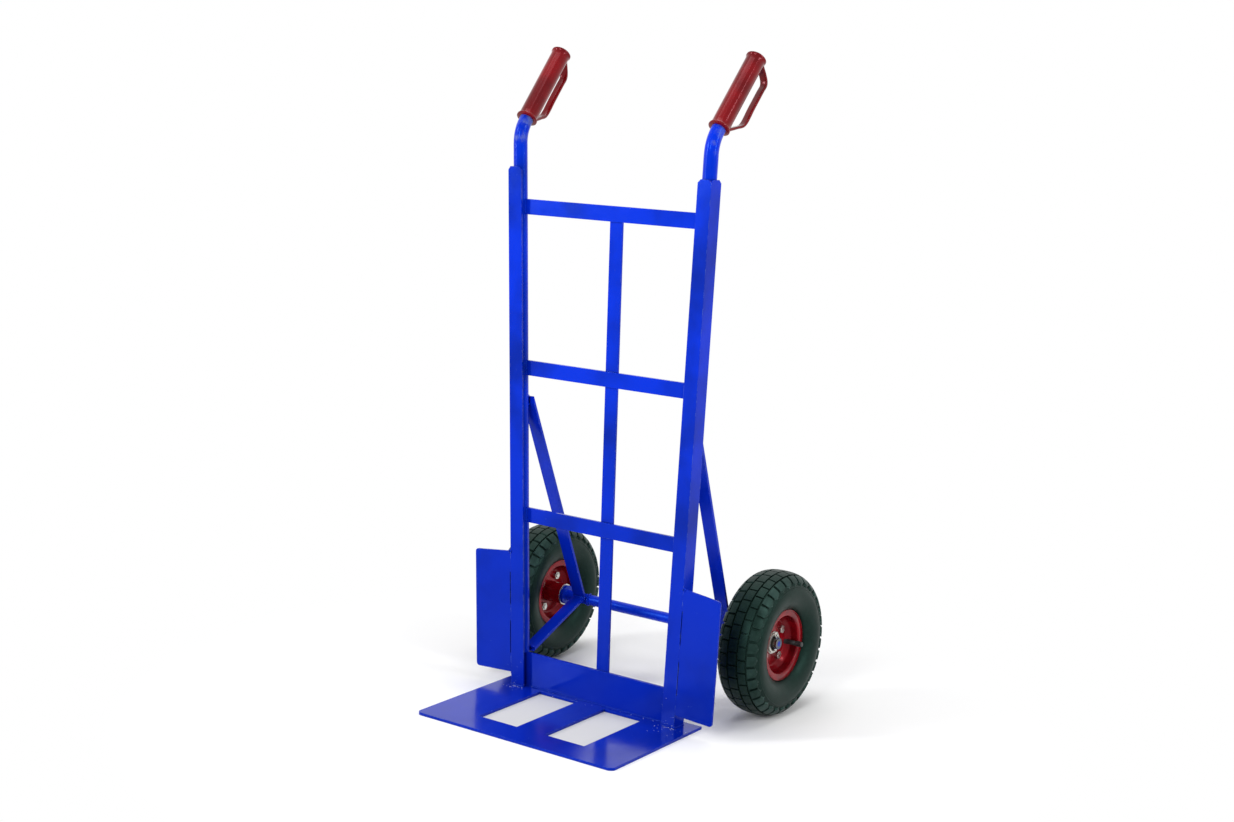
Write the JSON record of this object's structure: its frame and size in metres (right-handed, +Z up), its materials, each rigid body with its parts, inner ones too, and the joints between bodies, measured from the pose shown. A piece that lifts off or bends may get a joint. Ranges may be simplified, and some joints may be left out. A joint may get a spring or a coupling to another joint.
{
  "type": "hand truck",
  "caption": "Upright steel hand truck with a flat toe plate, crossbars, raked handles with guarded grips and two pneumatic wheels on a fixed axle.",
  "frame": {"origin": "on the floor, midway between the rails, at the rails' front plane, on the toe plate's underside", "axes": "+X to the right seen from the front, toe plate towards -Y, +Z up"},
  "size_m": [0.59, 0.55, 1.163],
  "materials": {
    "blue_paint": "gloss",
    "red_plastic": "gloss",
    "red_paint": "gloss",
    "zinc": "satin",
    "tyre_rubber": "matte",
    "tube_rubber": "matte",
    "black_plastic": "satin",
    "cage_plastic": "satin",
    "roller_steel": "polished"
  },
  "bodies": {
    "chassis": {"rail_left": "blue_paint", "rail_right": "blue_paint", "handle_tube_left": "blue_paint", "handle_tube_right": "blue_paint", "grip_left": "red_plastic", "grip_right": "red_plastic", "crossbar_top": "blue_paint", "crossbar_middle": "blue_paint", "crossbar_lower": "blue_paint", "centre_bar": "blue_paint", "back_plate": "blue_paint", "toe_plate": "blue_paint", "wing_plate_left": "blue_paint", "wing_plate_right": "blue_paint", "upper_strut_left": "blue_paint", "upper_strut_right": "blue_paint", "lower_strut_left": "blue_paint", "lower_strut_right": "blue_paint", "axle_shaft": "blue_paint", "axle_collars": "blue_paint", "axle_washers": "zinc", "split_pins": "zinc"},
    "wheel_left": {"tyre_left": "tyre_rubber", "inner_tube_left": "tube_rubber", "rim_outer_left": "red_paint", "rim_inner_left": "red_paint", "hub_left": "red_paint", "hub_caps_left": "zinc", "rim_bolts_left": "zinc", "rim_nuts_left": "zinc", "valve_stem_left": "tube_rubber", "valve_cap_left": "black_plastic"},
    "wheel_right": {"tyre_right": "tyre_rubber", "inner_tube_right": "tube_rubber", "rim_outer_right": "red_paint", "rim_inner_right": "red_paint", "hub_right": "red_paint", "hub_caps_right": "zinc", "rim_bolts_right": "zinc", "rim_nuts_right": "zinc", "valve_stem_right": "tube_rubber", "valve_cap_right": "black_plastic"},
    "cage_left": {"roller_cage_left": "cage_plastic", "rollers_left": "roller_steel"},
    "cage_right": {"roller_cage_right": "cage_plastic", "rollers_right": "roller_steel"}
  },
  "joints": [
    {"name": "wheel_spin_left", "type": "hinge", "parent": "chassis", "child": "wheel_left", "pos_m": [-0.252, 0.195, 0.13], "axis": [1, 0, 0], "continuous": true},
    {"name": "wheel_spin_right", "type": "hinge", "parent": "chassis", "child": "wheel_right", "pos_m": [0.252, 0.195, 0.13], "axis": [1, 0, 0], "continuous": true},
    {"name": "cage_spin_left", "type": "hinge", "parent": "chassis", "child": "cage_left", "pos_m": [-0.252, 0.195, 0.13], "axis": [1, 0, 0], "continuous": true},
    {"name": "cage_spin_right", "type": "hinge", "parent": "chassis", "child": "cage_right", "pos_m": [0.252, 0.195, 0.13], "axis": [1, 0, 0], "continuous": true}
  ],
  "couplings": [
    {"joint": "cage_spin_left", "follows": "wheel_spin_left", "ratio": 0.6154},
    {"joint": "cage_spin_right", "follows": "wheel_spin_right", "ratio": 0.6154}
  ]
}
